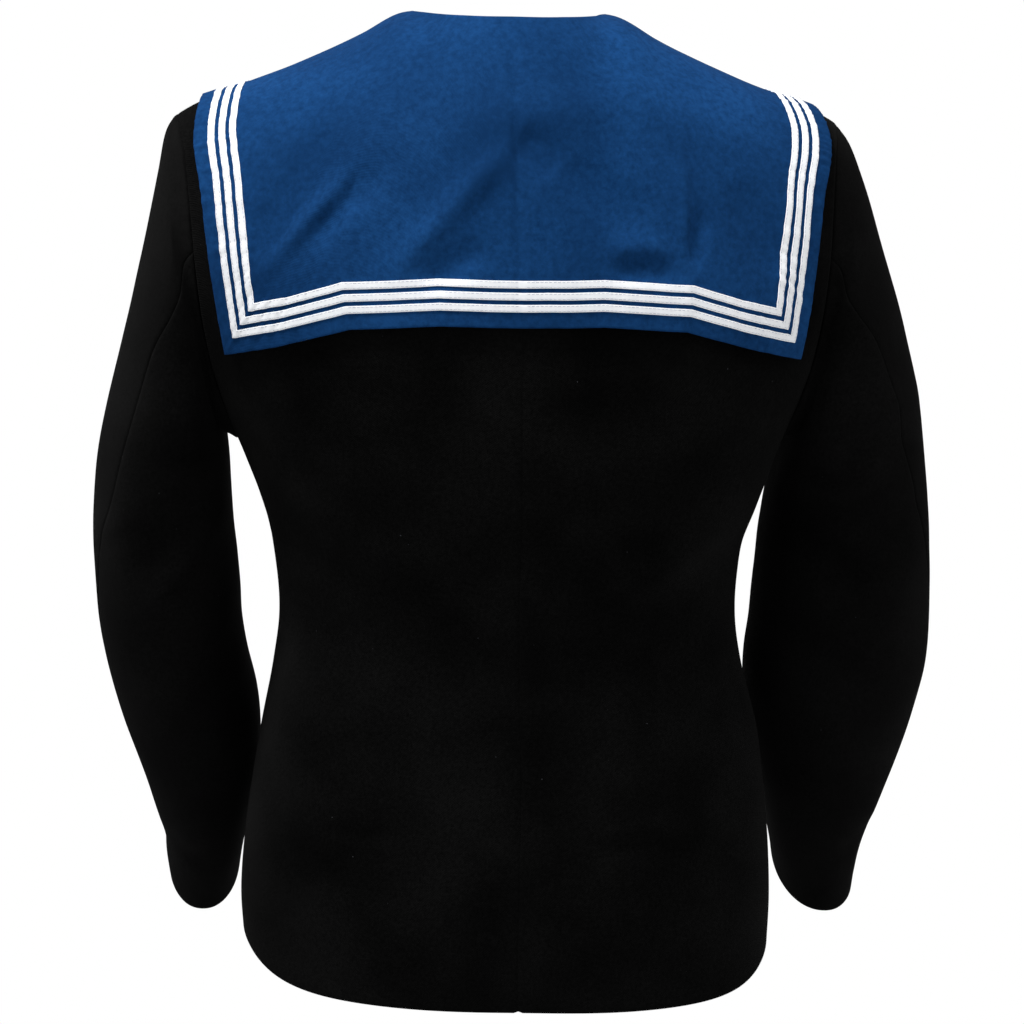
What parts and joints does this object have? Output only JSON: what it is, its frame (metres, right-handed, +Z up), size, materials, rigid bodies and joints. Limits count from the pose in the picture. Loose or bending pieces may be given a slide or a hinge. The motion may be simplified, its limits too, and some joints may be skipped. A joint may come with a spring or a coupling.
{
  "type": "sailor jumper",
  "caption": "Long-sleeved dark wool pull-on jumper with a square blue cotton collar hanging at the back, edged with white tape, filled out as worn.",
  "frame": {"origin": "midway between the side neck points, where the shoulders hold the jumper", "axes": "+Z up, +Y towards the jumper's back, +X towards the wearer's left"},
  "size_m": [0.586, 0.2812, 0.6578],
  "materials": {
    "wool": "napped black wool serge",
    "cotton": "mid-blue cotton drill",
    "tape": "white woven cotton tape"
  },
  "bodies": {
    "root": {"back_left": "wool", "back_right": "wool", "front": "wool", "topsleeve_left": "wool", "topsleeve_right": "wool", "undersleeve_left": "wool", "undersleeve_right": "wool", "collar": "cotton", "tape_outer": "tape", "tape_middle": "tape", "tape_inner": "tape"}
  },
  "joints": []
}
